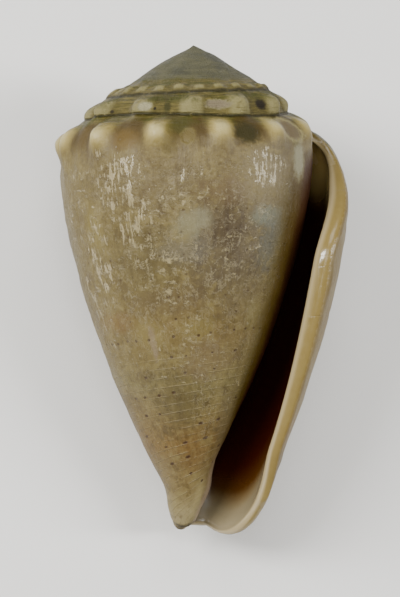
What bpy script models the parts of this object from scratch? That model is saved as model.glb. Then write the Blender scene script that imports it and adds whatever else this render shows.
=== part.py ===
"""A cone shell, one solid, lying on its back with the slit of its mouth upwards.

A cone shell is a tube that its animal wound round and round, wider at every turn. The outside is one
continuous wall: it starts at the tip of the spire, and after its last turn it ends at the lip. The wall is
described here by two numbers. The turn counts whole turns along the coil, 0 near the lip and negative
further back, and the depth is the distance below the tip of the spire, along the axis.
"""

import math

import bmesh
import bpy
from mathutils import Matrix, Vector

# All sizes are in millimetres, and depths are measured down the axis from the tip of the spire.
MM = 0.001
LENGTH = 45.0

# The side of the last turn, as reach * size + lean * depth - curve * depth^2 / size.
TURN_GROWTH = 1.3064
SIDE_REACH = 15.17
SIDE_LEAN = 0.0335
SIDE_CURVE = 0.00616

# The shoulder of each turn, and how fast the wall rounds over it. Each turn leaves the one before at a
# seam, which follows the shoulder but sags once, above the mouth.
SEAM_DEPTH = 7.93
SEAM_GROWTH = 1.372
SEAM_SAG = 0.75
SAG_TURN = -0.88
SAG_REACH = 0.28
SAG_TIGHTENS = 0.6
SHOULDER_ROUND = 2.49

# Knobs on the shoulder. Those of the last turn stand between those of the turn before it.
KNOBS_PER_TURN = 12
KNOB_PHASE = 0.037
KNOB_HEIGHT = 1.75
KNOB_DROP = 1.8
KNOB_WIDTH_POWER = 1.9
KNOB_LENGTH_POWER = 2.0
KNOB_UNEVEN = 0.16
UNEVEN_STEP = 2.3
KNOBS_STAGGER_FROM, KNOBS_STAGGER_TO = -1.6, -0.95
KNOBS_FADE_FROM, KNOBS_FADE_TO = -0.17, -0.05
KNOB_LEFT_AT_LIP = 0.1
KNOB_WEAR_TURNS = 0.8

# The worn cone at the top of the spire.
CAP_SLOPE = 0.606
CAP_TURN = -2.52
CAP_FADE = 0.5
WORN_FROM, WORN_TO = 4.5, 5.9

# The pillar round the axis, which shows along the mouth's left edge and ends in the pointed tip.
PILLAR_RADIUS = 1.1
PILLAR_BLEND = 0.7
PILLAR_TAPERS = 39.6
PILLAR_END = 44.3
PILLAR_THINNEST = 0.2
PILLAR_SHIFT = 0.85
SHIFT_FROM, SHIFT_TO = 40.1, 43.8
SHIFT_NEAR, SHIFT_FAR = 2.0, 5.0

# The lip and the rim at the base.
LIP_TURN = -0.02
LIP_LEAD = 0.08
LEAD_FROM, LEAD_TO = 8.9, 20.0
LEAD_BACK = 0.04
LEAD_BEHIND = -0.15
BACK_FROM, BACK_TO = 36.9, 43.3
BASE_SWELL = 0.46
SWELL_FULL = 42.0
SWELL_BACK = -0.35
RIM_LOWEST = 44.75
RIM_BEHIND = 43.95
RIM_CORNER = 3.1
CORNER_SHARE = 0.17
CORNER_POWER = 2.2
BEHIND_SHARE = 0.34
TIP_DROP = 0.5
TIP_FROM, TIP_AT = 0.8, 0.87
EDGE_BULGE = 0.8
EDGE_DOWN = 0.6
EDGE_DOWN_FROM = 0.75
RIM_FACES_DOWN = 0.25
EDGE_FADES_ROWS = 4
WALL_THIN, WALL_MORE = 0.83, 0.65
LIP_THICKER = 0.62
THICKER_FROM, THICKER_FULL = 9.5, 13.5
THICKER_LESS, THICKER_ENDS = 19.0, 38.0
THICKER_BEHIND = -0.14
CEILING_WALL = 0.92

# The hollow inside runs back from the mouth, further under the shoulder than at the base.
HOLLOW_TURNS = 5 / 6
BASE_HOLLOW_TURNS = 0.42
SWEEP_FROM, SWEEP_TO = 16.0, 44.0
HOLLOW_CLOSES = 0.68
CEILING_ROUND = 2.0
ROWS_GATHER_FROM = 0.3

# The pose. The shell is rolled about its axis and its tip is lowered until it rests on its back, where it
# is worn flat by a little.
ROLL = 19.2
TIP_LOWERED = 12.8
WORN_FLAT = 0.34

# How the shell looks.
COLOUR = (0.52, 0.44, 0.3, 1.0)
ROUGHNESS = 0.5

# How finely the surface is divided.
COLUMNS = 72
SPIRE_TURNS = 3.5
SHOULDER_ROWS = 6
LIP_ROWS = 3
SIDE_ROWS = 14
CAP_RINGS = 3


def smooth(low, high, value):
    """0 below low, 1 above high, and an even S between them."""
    share = min(1.0, max(0.0, (value - low) / (high - low)))
    return share * share * (3 - 2 * share)


def mix(first, second, share):
    return first + (second - first) * share


def size_at(turn):
    return TURN_GROWTH**turn


def shoulder_depth(turn):
    return SEAM_DEPTH * SEAM_GROWTH**turn


def seam_depth(turn):
    """The depth at which this turn leaves the one before it."""
    aside = min(1.0, abs(turn - SAG_TURN) / SAG_REACH)
    return shoulder_depth(turn) + SEAM_SAG * (0.5 + 0.5 * math.cos(math.pi * aside))


def pillar_radius(depth):
    taper = max(0.0, (depth - PILLAR_TAPERS) / (PILLAR_END - PILLAR_TAPERS))
    return PILLAR_RADIUS * math.sqrt(max(PILLAR_THINNEST**2, 1 - taper * taper))


def side_radius(turn, depth):
    """The outside of the wall below the shoulder, never thinner than the pillar."""
    size = size_at(turn)
    line = SIDE_REACH * size + SIDE_LEAN * depth - SIDE_CURVE * depth * depth / size
    line += BASE_SWELL * smooth(BACK_FROM, SWELL_FULL, depth) * smooth(SWELL_BACK, 0.0, turn)
    pillar = pillar_radius(depth)
    return (line + pillar + math.hypot(line - pillar, PILLAR_BLEND)) / 2


def knob(turn, drop):
    """How far a knob pushes the wall out, at this drop below the top of the shoulder."""
    phase = KNOBS_PER_TURN * (turn + KNOB_PHASE)
    phase += 0.5 * (1 - smooth(KNOBS_STAGGER_FROM, KNOBS_STAGGER_TO, turn))
    number = round(phase)
    crest = (0.5 + 0.5 * math.cos(2 * math.pi * (phase - number))) ** KNOB_WIDTH_POWER
    uneven = 1 + KNOB_UNEVEN * math.sin(UNEVEN_STEP * number)
    share = drop / (KNOB_DROP * size_at(turn))
    along = (share * math.exp(1 - share)) ** KNOB_LENGTH_POWER
    near_lip = mix(1.0, KNOB_LEFT_AT_LIP, smooth(KNOBS_FADE_FROM, KNOBS_FADE_TO, turn))
    worn = smooth(CAP_TURN, CAP_TURN + KNOB_WEAR_TURNS, turn)
    return KNOB_HEIGHT * size_at(turn) * crest * uneven * along * near_lip * worn


def outer_radius(turn, depth):
    """The outside of the wall. It leaves the turn before it at the seam, and rounds over the shoulder."""
    if turn < CAP_TURN:
        return depth / CAP_SLOPE
    seam, top = seam_depth(turn), shoulder_depth(turn)
    step = side_radius(turn, seam) + knob(turn, seam - top) - outer_radius(turn - 1, seam)
    round_over = SHOULDER_ROUND * size_at(turn) - SAG_TIGHTENS * (seam - top)
    rounding = step * math.exp(-max(0.0, depth - seam) / round_over)
    wall = side_radius(turn, depth) - rounding + knob(turn, max(0.0, depth - top))
    return mix(depth / CAP_SLOPE, wall, smooth(CAP_TURN, CAP_TURN + CAP_FADE, turn))


def wall_thickness(depth):
    share = min(1.0, max(0.0, (depth - seam_depth(0)) / (LENGTH - seam_depth(0))))
    return WALL_THIN + WALL_MORE * math.sqrt(math.sin(math.pi * share))


def lip_swell(turn, depth):
    """The lip is thicker than the wall behind it, most of all in its upper half."""
    high = smooth(THICKER_FROM, THICKER_FULL, depth) * (1 - smooth(THICKER_LESS, THICKER_ENDS, depth))
    return LIP_THICKER * high * smooth(THICKER_BEHIND, 0.0, turn)


def ceiling_depth(turn):
    """Where the hollow ends under the shoulder."""
    return seam_depth(turn) + CEILING_WALL * size_at(turn)


def inner_radius(turn, depth, open_share):
    """The inside of the wall, which meets the turn before it at the ceiling and at the far end."""
    ceiling = ceiling_depth(turn)
    core = outer_radius(turn - 1, depth)
    full = side_radius(turn, depth) - wall_thickness(depth) - lip_swell(turn, depth)
    step = side_radius(turn, ceiling) - wall_thickness(ceiling) - outer_radius(turn - 1, ceiling)
    full -= step * math.exp(-max(0.0, depth - ceiling) / (CEILING_ROUND * size_at(turn)))
    return core + max(0.0, full - core) * open_share


def hollow_turns(depth):
    return mix(HOLLOW_TURNS, BASE_HOLLOW_TURNS, smooth(SWEEP_FROM, SWEEP_TO, depth))


def turn_at(back, depth):
    """The turn of a growth line that is back turns behind the lip. Lines sweep round towards the base."""
    hollow = hollow_turns(depth)
    if back <= HOLLOW_TURNS:
        turn = -hollow * back / HOLLOW_TURNS
    elif back <= 1:
        turn = -hollow - (1 - hollow) * (back - HOLLOW_TURNS) / (1 - HOLLOW_TURNS)
    else:
        turn = -1 - hollow * (back - 1) / HOLLOW_TURNS
    lead = LIP_LEAD * smooth(LEAD_FROM, LEAD_TO, depth) - LEAD_BACK * smooth(BACK_FROM, BACK_TO, depth)
    return turn + LIP_TURN + lead * smooth(LEAD_BEHIND, 0.0, turn)


def rim_depth(back):
    """The depth at which the growth line ends at the base."""
    if back < CORNER_SHARE:
        return RIM_LOWEST - RIM_CORNER * (1 - back / CORNER_SHARE) ** CORNER_POWER
    tip = TIP_DROP * smooth(TIP_FROM, TIP_AT, back) * (1 - smooth(TIP_AT, 1.0, back))
    return mix(RIM_LOWEST, RIM_BEHIND, smooth(CORNER_SHARE, BEHIND_SHARE, back)) + tip


def place(turn, depth, radius):
    """The point at this turn, depth and radius. The pillar's end stands a little to one side."""
    aside = PILLAR_SHIFT * smooth(SHIFT_FROM, SHIFT_TO, depth) * (1 - smooth(SHIFT_NEAR, SHIFT_FAR, radius))
    angle = 2 * math.pi * turn
    return Vector((radius * math.cos(angle) - aside, -radius * math.sin(angle), -depth))


def on_spire(radius, depth):
    """Radius and depth, with everything near the tip worn down to a plain cone."""
    worn = 1 - smooth(WORN_FROM, WORN_TO, max(radius, depth / CAP_SLOPE))
    return radius, mix(depth, CAP_SLOPE * radius, worn)


def outside_point(back, depth):
    turn = turn_at(back, depth)
    radius, depth = on_spire(outer_radius(turn, depth), depth)
    return place(turn, depth, radius)


def cap_point(back, share):
    """From the tip of the spire to the edge of its worn cone."""
    depth = seam_depth(CAP_TURN) * share
    return place(LIP_TURN - back, depth, depth / CAP_SLOPE)


def shoulder_point(back, share):
    """From the seam above this turn, share 0, to the seam below it, share 1."""
    turn = LIP_TURN - back
    if turn >= CAP_TURN:
        return outside_point(back, mix(seam_depth(turn), seam_depth(turn + 1), share))
    cap_edge = seam_depth(CAP_TURN) / CAP_SLOPE
    radius = mix(cap_edge, seam_depth(turn + 1) / CAP_SLOPE, share)
    return place(turn, CAP_SLOPE * radius, radius)


def collar_point(back, share):
    """From the seam below this turn to the level of the next turn's ceiling."""
    turn = LIP_TURN - back
    return outside_point(back, mix(seam_depth(turn + 1), ceiling_depth(turn + 1), share))


def side_point(back, share):
    """From the collar down to the rim, outside and on round the core inside the hollow."""
    top = ceiling_depth(LIP_TURN - back + 1)
    return outside_point(back, mix(top, rim_depth(min(back, 1.0)), share))


def inside_share(row, back):
    """Rows of the inside keep pace with the lip's at the mouth, and gather at the ceiling at the far end."""
    rows = SHOULDER_ROWS + LIP_ROWS + SIDE_ROWS
    above = SHOULDER_ROWS + LIP_ROWS
    lip = LIP_TURN
    depths = [seam_depth(lip), seam_depth(lip + 1), ceiling_depth(lip + 1), rim_depth(0.0)]
    if row <= SHOULDER_ROWS:
        depth = mix(depths[0], depths[1], row / SHOULDER_ROWS)
    elif row <= above:
        depth = mix(depths[1], depths[2], (row - SHOULDER_ROWS) / LIP_ROWS)
    else:
        depth = mix(depths[2], depths[3], (row - above) / SIDE_ROWS)
    at_lip = (depth - depths[0]) / (depths[3] - depths[0])
    at_end = max(0.0, (row - above) / (rows - above))
    return mix(at_lip, at_end, smooth(ROWS_GATHER_FROM, HOLLOW_TURNS, back))


def inside_point(back, row):
    top = ceiling_depth(LIP_TURN - back)
    depth = mix(top, rim_depth(back), inside_share(row, back))
    closing = max(0.0, (back - HOLLOW_CLOSES) / (HOLLOW_TURNS - HOLLOW_CLOSES))
    open_share = math.sqrt(max(0.0, 1 - closing * closing))
    turn = turn_at(back, depth)
    return place(turn, depth, inner_radius(turn, depth, open_share))


def lip_row_point(row):
    """The outside of the lip at one of the rows that its inside has too."""
    if row <= SHOULDER_ROWS:
        return shoulder_point(0.0, row / SHOULDER_ROWS)
    if row <= SHOULDER_ROWS + LIP_ROWS:
        return collar_point(0.0, (row - SHOULDER_ROWS) / LIP_ROWS)
    return side_point(0.0, (row - SHOULDER_ROWS - LIP_ROWS) / SIDE_ROWS)


def rounded_edge(outside, inside, ahead, across):
    """A point on the half round that joins the two faces of the wall, bulging ahead."""
    angle = math.pi * across
    middle = (outside + inside) / 2
    half = (outside - inside) / 2
    return middle + half * math.cos(angle) + ahead * (half.length * EDGE_BULGE * math.sin(angle))


def ahead_of(turn, down):
    angle = 2 * math.pi * turn
    along = Vector((-math.sin(angle), -math.cos(angle), 0.0))
    return mix(along, Vector((0.0, 0.0, -1.0)), down).normalized()


def lip_point(row, across):
    rows = SHOULDER_ROWS + LIP_ROWS + SIDE_ROWS
    if row == 0:
        return collar_point(1.0, across)
    outside, inside = lip_row_point(row), inside_point(0.0, row)
    turn = turn_at(0.0, -outside.z)
    ahead = ahead_of(turn, EDGE_DOWN * smooth(EDGE_DOWN_FROM, 1.0, row / rows))
    return rounded_edge(outside, inside, ahead * smooth(0.0, EDGE_FADES_ROWS, row), across)


def rim_point(back, across):
    rows = SHOULDER_ROWS + LIP_ROWS + SIDE_ROWS
    outside, inside = side_point(back, 1.0), inside_point(back, rows)
    down = mix(EDGE_DOWN, 1.0, smooth(0.0, RIM_FACES_DOWN, back))
    return rounded_edge(outside, inside, ahead_of(turn_at(back, -outside.z), down), across)


def add_strip(shape, columns, rows, point):
    """Adds a grid of faces, and moves its corner (i, j) to point(i, j)."""
    made = bmesh.ops.create_grid(shape, x_segments=columns, y_segments=rows, size=0.5)
    for vertex in made["verts"]:
        i = round((vertex.co.x + 0.5) * columns)
        j = round((vertex.co.y + 0.5) * rows)
        vertex.co = point(i, j)


def close_foot(shape):
    """Fills the foot of the pillar, which is the only opening that the strips leave."""
    edges = [edge for edge in shape.edges if edge.is_boundary]
    face = bmesh.ops.contextual_create(shape, geom=edges)["faces"]
    bmesh.ops.poke(shape, faces=face)


def wear_flat(shape):
    """Takes off the lowest WORN_FLAT of the shell, where its back lies on the floor."""
    lowest = min(vertex.co.z for vertex in shape.verts)
    everything = shape.verts[:] + shape.edges[:] + shape.faces[:]
    level = (0, 0, lowest + WORN_FLAT * MM)
    cut = bmesh.ops.bisect_plane(
        shape, geom=everything, dist=1e-7, plane_co=level, plane_no=(0, 0, 1), clear_inner=True
    )
    edges = [part for part in cut["geom_cut"] if isinstance(part, bmesh.types.BMEdge)]
    bmesh.ops.contextual_create(shape, geom=edges)


def lay_down(shape):
    """Lays the shell on its back, tip of the spire towards +Y, with the middle of its footprint at 0, 0."""
    roll = Matrix.Rotation(math.radians(-ROLL), 3, "Z")
    lower = Matrix.Rotation(math.radians(TIP_LOWERED - 90), 3, "X")
    bmesh.ops.rotate(shape, verts=shape.verts, cent=(0, 0, 0), matrix=lower @ roll)
    wear_flat(shape)
    corners = [[vertex.co[axis] for vertex in shape.verts] for axis in range(3)]
    low, high = [min(values) for values in corners], [max(values) for values in corners]
    middle = Vector(((low[0] + high[0]) / 2, (low[1] + high[1]) / 2, low[2]))
    bmesh.ops.translate(shape, verts=shape.verts, vec=-middle)


def make_shell():
    shape = bmesh.new()
    rows = SHOULDER_ROWS + LIP_ROWS + SIDE_ROWS
    hollow = round(COLUMNS * HOLLOW_TURNS)
    add_strip(shape, COLUMNS, CAP_RINGS, lambda i, j: cap_point(i / COLUMNS, j / CAP_RINGS))
    add_strip(shape, round(COLUMNS * SPIRE_TURNS), SHOULDER_ROWS,
              lambda i, j: shoulder_point(i / COLUMNS, j / SHOULDER_ROWS))
    add_strip(shape, COLUMNS, LIP_ROWS, lambda i, j: collar_point(i / COLUMNS, j / LIP_ROWS))
    add_strip(shape, COLUMNS + hollow, SIDE_ROWS, lambda i, j: side_point(i / COLUMNS, j / SIDE_ROWS))
    add_strip(shape, hollow, rows, lambda i, j: inside_point(i / COLUMNS, j))
    add_strip(shape, rows, LIP_ROWS, lambda i, j: lip_point(i, j / LIP_ROWS))
    add_strip(shape, hollow, LIP_ROWS, lambda i, j: rim_point(i / COLUMNS, j / LIP_ROWS))
    bmesh.ops.remove_doubles(shape, verts=shape.verts, dist=0.01)
    close_foot(shape)
    bmesh.ops.recalc_face_normals(shape, faces=shape.faces)
    bmesh.ops.scale(shape, vec=(MM, MM, MM), verts=shape.verts)
    lay_down(shape)
    bmesh.ops.triangulate(shape, faces=shape.faces)
    mesh = bpy.data.meshes.new("shell")
    shape.to_mesh(mesh)
    shape.free()
    mesh.shade_smooth()
    return bpy.data.objects.new("shell", mesh)


def worn_shell():
    """The finish: a worn, tan, half glossy surface."""
    material = bpy.data.materials.new("worn shell")
    material.use_nodes = True
    shader = material.node_tree.nodes["Principled BSDF"]
    shader.inputs["Base Color"].default_value = COLOUR
    shader.inputs["Roughness"].default_value = ROUGHNESS
    shader.inputs["Metallic"].default_value = 0.0
    material.diffuse_color = COLOUR
    return material


def main():
    for old in list(bpy.data.objects):
        bpy.data.objects.remove(old)
    shell = make_shell()
    shell.data.materials.append(worn_shell())
    parts = bpy.data.collections.new("cone shell")
    bpy.context.scene.collection.children.link(parts)
    parts.objects.link(shell)
    print("shell", len(shell.data.polygons), "triangles", [round(side / MM, 1) for side in shell.dimensions])


main()
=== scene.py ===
# %% [markdown]
# # A cone shell in Blender
#
# A cone shell is one long tube of limy wall, wound round and round by the snail that lived in it. It has
# no joints and no separate pieces, so this lesson makes a single closed mesh. The wall follows a growth
# law, and the colours follow the same law, because the animal laid down shape and colour together.
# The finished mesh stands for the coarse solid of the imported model, at the same place and size.

# %% Load the frame
import math

import bmesh
import bpy
from mathutils import Matrix, Vector, noise


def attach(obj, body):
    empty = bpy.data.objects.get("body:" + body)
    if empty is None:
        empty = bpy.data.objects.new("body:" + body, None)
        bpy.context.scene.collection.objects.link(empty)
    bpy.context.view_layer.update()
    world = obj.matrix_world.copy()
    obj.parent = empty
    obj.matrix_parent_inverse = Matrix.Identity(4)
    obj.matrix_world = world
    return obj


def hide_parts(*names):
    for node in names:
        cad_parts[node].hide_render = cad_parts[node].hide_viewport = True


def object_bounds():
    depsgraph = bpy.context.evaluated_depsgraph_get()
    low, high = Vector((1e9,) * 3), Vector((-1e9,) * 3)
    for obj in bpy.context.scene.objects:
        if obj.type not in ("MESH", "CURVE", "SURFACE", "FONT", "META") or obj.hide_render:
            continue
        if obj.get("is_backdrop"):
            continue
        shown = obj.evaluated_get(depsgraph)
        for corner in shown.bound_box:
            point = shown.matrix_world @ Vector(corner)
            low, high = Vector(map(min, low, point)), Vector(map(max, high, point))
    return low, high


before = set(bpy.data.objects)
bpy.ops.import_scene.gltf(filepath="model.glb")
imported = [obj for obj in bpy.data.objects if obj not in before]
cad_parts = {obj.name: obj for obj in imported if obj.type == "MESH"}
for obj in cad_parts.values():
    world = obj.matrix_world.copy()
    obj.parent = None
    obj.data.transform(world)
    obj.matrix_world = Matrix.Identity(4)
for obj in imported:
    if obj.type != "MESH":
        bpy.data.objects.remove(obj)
cad_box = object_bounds()
print("the solid measures", [round((high - low) * 1000, 1) for low, high in zip(*cad_box)], "mm")

# %% [markdown]
# ## The growth law
#
# A point of the wall is found with two numbers. The turn counts whole turns along the coil: 0 is near the
# lip, and the wall grew from the negative turns towards it. The depth is the distance below the tip of
# the spire, along the axis. One turn further on, the shell is 1.3 times larger. All sizes here are in
# millimetres, and most are the solid's. The finest forms are this mesh's own: the crisper knobs, the
# rounded cap, the small worn knobs below it, and a faint unevenness.

# %% Sizes of the wall
MM = 0.001
LENGTH = 45.0
TURN_GROWTH = 1.3064
SIDE_REACH = 15.17
SIDE_LEAN = 0.0335
SIDE_CURVE = 0.00616
SEAM_DEPTH = 7.93
SEAM_GROWTH = 1.372
SEAM_SAG = 0.75
SAG_TURN = -0.88
SAG_REACH = 0.28
SAG_TIGHTENS = 0.6
SHOULDER_ROUND = 2.49


def smooth(low, high, value):
    """0 below low, 1 above high, and an even S between them."""
    share = min(1, max(0, (value - low) / (high - low)))
    return share * share * (3 - 2 * share)


def mix(first, second, share):
    return first + (second - first) * share


def size_at(turn):
    return TURN_GROWTH**turn


def shoulder_depth(turn):
    return SEAM_DEPTH * SEAM_GROWTH**turn


def seam_depth(turn):
    """The depth at which this turn leaves the one before it. The seam sags once, above the mouth."""
    aside = min(1, abs(turn - SAG_TURN) / SAG_REACH)
    return shoulder_depth(turn) + SEAM_SAG * (0.5 + 0.5 * math.cos(math.pi * aside))


print("the last seam runs from", round(seam_depth(-1), 2), "to", round(seam_depth(0), 2), "mm deep")

# %% [markdown]
# ## The pillar
#
# The coil turns round a pillar. It shows only at the base, where the last turn leaves it bare and it ends
# in the pointed tip at the mouth's left. The side of a turn is never thinner than this pillar, and the
# two are blended with a hyperbola so that no crease shows.

# %% The side of a turn
PILLAR_RADIUS = 1.1
PILLAR_BLEND = 0.7
PILLAR_TAPERS = 39.6
PILLAR_END = 44.3
PILLAR_THINNEST = 0.2
PILLAR_SHIFT = 0.85
SHIFT_FROM, SHIFT_TO = 40.1, 43.8
SHIFT_NEAR, SHIFT_FAR = 2, 5
BASE_SWELL = 0.46
SWELL_FULL = 42.0
SWELL_BACK = -0.35
BACK_FROM, BACK_TO = 36.9, 43.3


def pillar_radius(depth):
    taper = max(0, (depth - PILLAR_TAPERS) / (PILLAR_END - PILLAR_TAPERS))
    return PILLAR_RADIUS * math.sqrt(max(PILLAR_THINNEST**2, 1 - taper * taper))


def side_radius(turn, depth):
    """The outside of the wall below the shoulder."""
    size = size_at(turn)
    line = SIDE_REACH * size + SIDE_LEAN * depth - SIDE_CURVE * depth * depth / size
    line += BASE_SWELL * smooth(BACK_FROM, SWELL_FULL, depth) * smooth(SWELL_BACK, 0, turn)
    pillar = pillar_radius(depth)
    return (line + pillar + math.hypot(line - pillar, PILLAR_BLEND)) / 2


print("the last turn's widest radius is about", round(side_radius(0, 17), 1), "mm")

# %% [markdown]
# ## The knobs
#
# The shoulder of each turn bears a row of blunt knobs. They aren't spheres stuck on the wall: the radius
# itself swells where a knob is. A cosine raised to a power gives their width, and a curve that rises fast
# and dies slowly gives the long foot that each knob has down the side.

# %% Knobs on the shoulder
KNOBS_PER_TURN = 12
KNOB_PHASE = 0.037
KNOB_HEIGHT = 1.75
KNOB_DROP = 1.8
KNOB_WIDTH_POWER = 1.9
KNOB_LENGTH_POWER = 2.0
KNOB_CRISPER = 0.2
KNOB_UNEVEN = 0.16
UNEVEN_STEP = 2.3
KNOBS_STAGGER_FROM, KNOBS_STAGGER_TO = -1.6, -0.95
KNOBS_FADE_FROM, KNOBS_FADE_TO = -0.17, -0.05
KNOB_LEFT_AT_LIP = 0.1
KNOB_WEAR_TURNS = 0.8
CAP_SLOPE = 0.606
CAP_TURN = -2.52
CAP_FADE = 0.5
WORN_FROM, WORN_TO = 4.5, 5.9


def knob_crest(turn):
    """1 on the middle of a knob and 0 between two knobs."""
    phase = KNOBS_PER_TURN * (turn + KNOB_PHASE)
    phase += 0.5 * (1 - smooth(KNOBS_STAGGER_FROM, KNOBS_STAGGER_TO, turn))
    number = round(phase)
    crest = (0.5 + 0.5 * math.cos(math.tau * (phase - number))) ** KNOB_WIDTH_POWER
    return crest * (1 + KNOB_UNEVEN * math.sin(UNEVEN_STEP * number))


def knob_strength(turn, drop):
    """How strong the knobs are at this drop below the shoulder's top: none on the worn cone."""
    share = drop / (KNOB_DROP * size_at(turn))
    along = (share * math.exp(1 - share)) ** KNOB_LENGTH_POWER
    near_lip = mix(1, KNOB_LEFT_AT_LIP, smooth(KNOBS_FADE_FROM, KNOBS_FADE_TO, turn))
    return along * near_lip * smooth(CAP_TURN, CAP_TURN + KNOB_WEAR_TURNS, turn)


def knob(turn, drop):
    crest = knob_crest(turn)
    height = KNOB_HEIGHT * crest + KNOB_CRISPER * crest**3
    return height * size_at(turn) * knob_strength(turn, drop)


def outer_radius(turn, depth):
    """The outside of the wall. It leaves the turn before it at the seam, and rounds over the shoulder."""
    if turn < CAP_TURN:
        return depth / CAP_SLOPE
    seam, top = seam_depth(turn), shoulder_depth(turn)
    step = side_radius(turn, seam) + knob(turn, seam - top) - outer_radius(turn - 1, seam)
    round_over = SHOULDER_ROUND * size_at(turn) - SAG_TIGHTENS * (seam - top)
    rounding = step * math.exp(-max(0, depth - seam) / round_over)
    wall = side_radius(turn, depth) - rounding + knob(turn, max(0, depth - top))
    return mix(depth / CAP_SLOPE, wall, smooth(CAP_TURN, CAP_TURN + CAP_FADE, turn))


print("a knob of the last turn is about", round(KNOB_HEIGHT, 2), "mm high")

# %% [markdown]
# ## Growth lines and the mouth
#
# The lip is the last growth line. It draws back at the shoulder in a shallow notch, leads a little
# further down, and draws back again at the base. Behind the lip the tube is hollow. The hollow is a
# second skin inside the first, and it ends where the two meet.

# %% The lip, the rim and the hollow
LIP_TURN = -0.02
LIP_LEAD = 0.08
LEAD_FROM, LEAD_TO = 8.9, 20
LEAD_BACK = 0.04
LEAD_BEHIND = -0.15
RIM_LOWEST = 44.75
RIM_BEHIND = 43.95
RIM_CORNER = 3.1
CORNER_SHARE = 0.17
CORNER_POWER = 2.2
BEHIND_SHARE = 0.34
TIP_DROP = 0.5
TIP_FROM, TIP_AT = 0.8, 0.87
WALL_THIN, WALL_MORE = 0.83, 0.65
LIP_THICKER = 0.62
THICKER_FROM, THICKER_FULL = 9.5, 13.5
THICKER_LESS, THICKER_ENDS = 19, 38
THICKER_BEHIND = -0.14
CEILING_WALL = 0.92
HOLLOW_TURNS = 5 / 6
BASE_HOLLOW_TURNS = 0.42
SWEEP_FROM, SWEEP_TO = 16, 44
HOLLOW_CLOSES = 0.68
CEILING_ROUND = 2.0
ROWS_GATHER_FROM = 0.3


def wall_thickness(depth):
    share = min(1, max(0, (depth - seam_depth(0)) / (LENGTH - seam_depth(0))))
    return WALL_THIN + WALL_MORE * math.sqrt(math.sin(math.pi * share))


def lip_swell(turn, depth):
    """The lip is thicker than the wall behind it, most of all in its upper half."""
    high = smooth(THICKER_FROM, THICKER_FULL, depth) * (1 - smooth(THICKER_LESS, THICKER_ENDS, depth))
    return LIP_THICKER * high * smooth(THICKER_BEHIND, 0, turn)


def ceiling_depth(turn):
    """Where the hollow ends under the shoulder."""
    return seam_depth(turn) + CEILING_WALL * size_at(turn)


def inner_radius(turn, depth, open_share):
    """The inside of the wall, which meets the turn before it at the ceiling and at the far end."""
    ceiling = ceiling_depth(turn)
    core = outer_radius(turn - 1, depth)
    full = side_radius(turn, depth) - wall_thickness(depth) - lip_swell(turn, depth)
    step = side_radius(turn, ceiling) - wall_thickness(ceiling) - outer_radius(turn - 1, ceiling)
    full -= step * math.exp(-max(0, depth - ceiling) / (CEILING_ROUND * size_at(turn)))
    return core + max(0, full - core) * open_share


def turn_at(back, depth):
    """The turn of a growth line that is back turns behind the lip. Lines sweep round towards the base."""
    hollow = mix(HOLLOW_TURNS, BASE_HOLLOW_TURNS, smooth(SWEEP_FROM, SWEEP_TO, depth))
    if back <= HOLLOW_TURNS:
        turn = -hollow * back / HOLLOW_TURNS
    elif back <= 1:
        turn = -hollow - (1 - hollow) * (back - HOLLOW_TURNS) / (1 - HOLLOW_TURNS)
    else:
        turn = -1 - hollow * (back - 1) / HOLLOW_TURNS
    lead = LIP_LEAD * smooth(LEAD_FROM, LEAD_TO, depth) - LEAD_BACK * smooth(BACK_FROM, BACK_TO, depth)
    return turn + LIP_TURN + lead * smooth(LEAD_BEHIND, 0, turn)


def rim_depth(back):
    """The depth at which a growth line ends at the base."""
    if back < CORNER_SHARE:
        return RIM_LOWEST - RIM_CORNER * (1 - back / CORNER_SHARE) ** CORNER_POWER
    tip = TIP_DROP * smooth(TIP_FROM, TIP_AT, back) * (1 - smooth(TIP_AT, 1, back))
    return mix(RIM_LOWEST, RIM_BEHIND, smooth(CORNER_SHARE, BEHIND_SHARE, back)) + tip


def place(turn, depth, radius):
    """The point at this turn, depth and radius. The pillar's end stands a little to one side."""
    near = 1 - smooth(SHIFT_NEAR, SHIFT_FAR, radius)
    aside = PILLAR_SHIFT * smooth(SHIFT_FROM, SHIFT_TO, depth) * near
    angle = math.tau * turn
    return Vector((radius * math.cos(angle) - aside, -radius * math.sin(angle), -depth))


print("the wall is", round(wall_thickness(26), 2), "mm thick halfway down")

# %% [markdown]
# ## One grid for each stretch of wall
#
# Each stretch of the wall is a flat grid from `bmesh.ops.create_grid`. Its corners are then moved to their
# places on the coil, as one wraps a sheet of paper round a mould. Each corner also keeps what its colour
# needs: its turn, its depth, and how far it lies inside the mouth.

# %% A corner of the wall and a strip of the wall
COLUMNS = 216
SPIRE_TURNS = 3.5
CAP_RINGS = 16
SHOULDER_ROWS = 18
LIP_ROWS = 6
SIDE_ROWS = 84
ROWS = SHOULDER_ROWS + LIP_ROWS + SIDE_ROWS
HOLLOW = round(COLUMNS * HOLLOW_TURNS)
MASKS = ("mouth", "from_lip", "behind", "parietal")
PARIETAL_TURNS = (0.86, 1.02)
PARIETAL_TOP = (9, 12)
BASE_FADE = (40, 43)


def add_strip(shape, columns, rows, corner):
    """Adds a grid of faces, and gives its corner (i, j) the place and the masks that corner(i, j) says."""
    layers = [shape.verts.layers.float[name] for name in MASKS]
    growth = shape.loops.layers.uv["growth"]
    made = bmesh.ops.create_grid(shape, x_segments=columns, y_segments=rows, size=0.5)["verts"]
    for vertex in made:
        i = round((vertex.co.x + 0.5) * columns)
        j = round((vertex.co.y + 0.5) * rows)
        vertex.co, on_coil, masks = corner(i, j)
        for layer, value in zip(layers, masks):
            vertex[layer] = value
        for loop in vertex.link_loops:
            loop[growth].uv = on_coil


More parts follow.
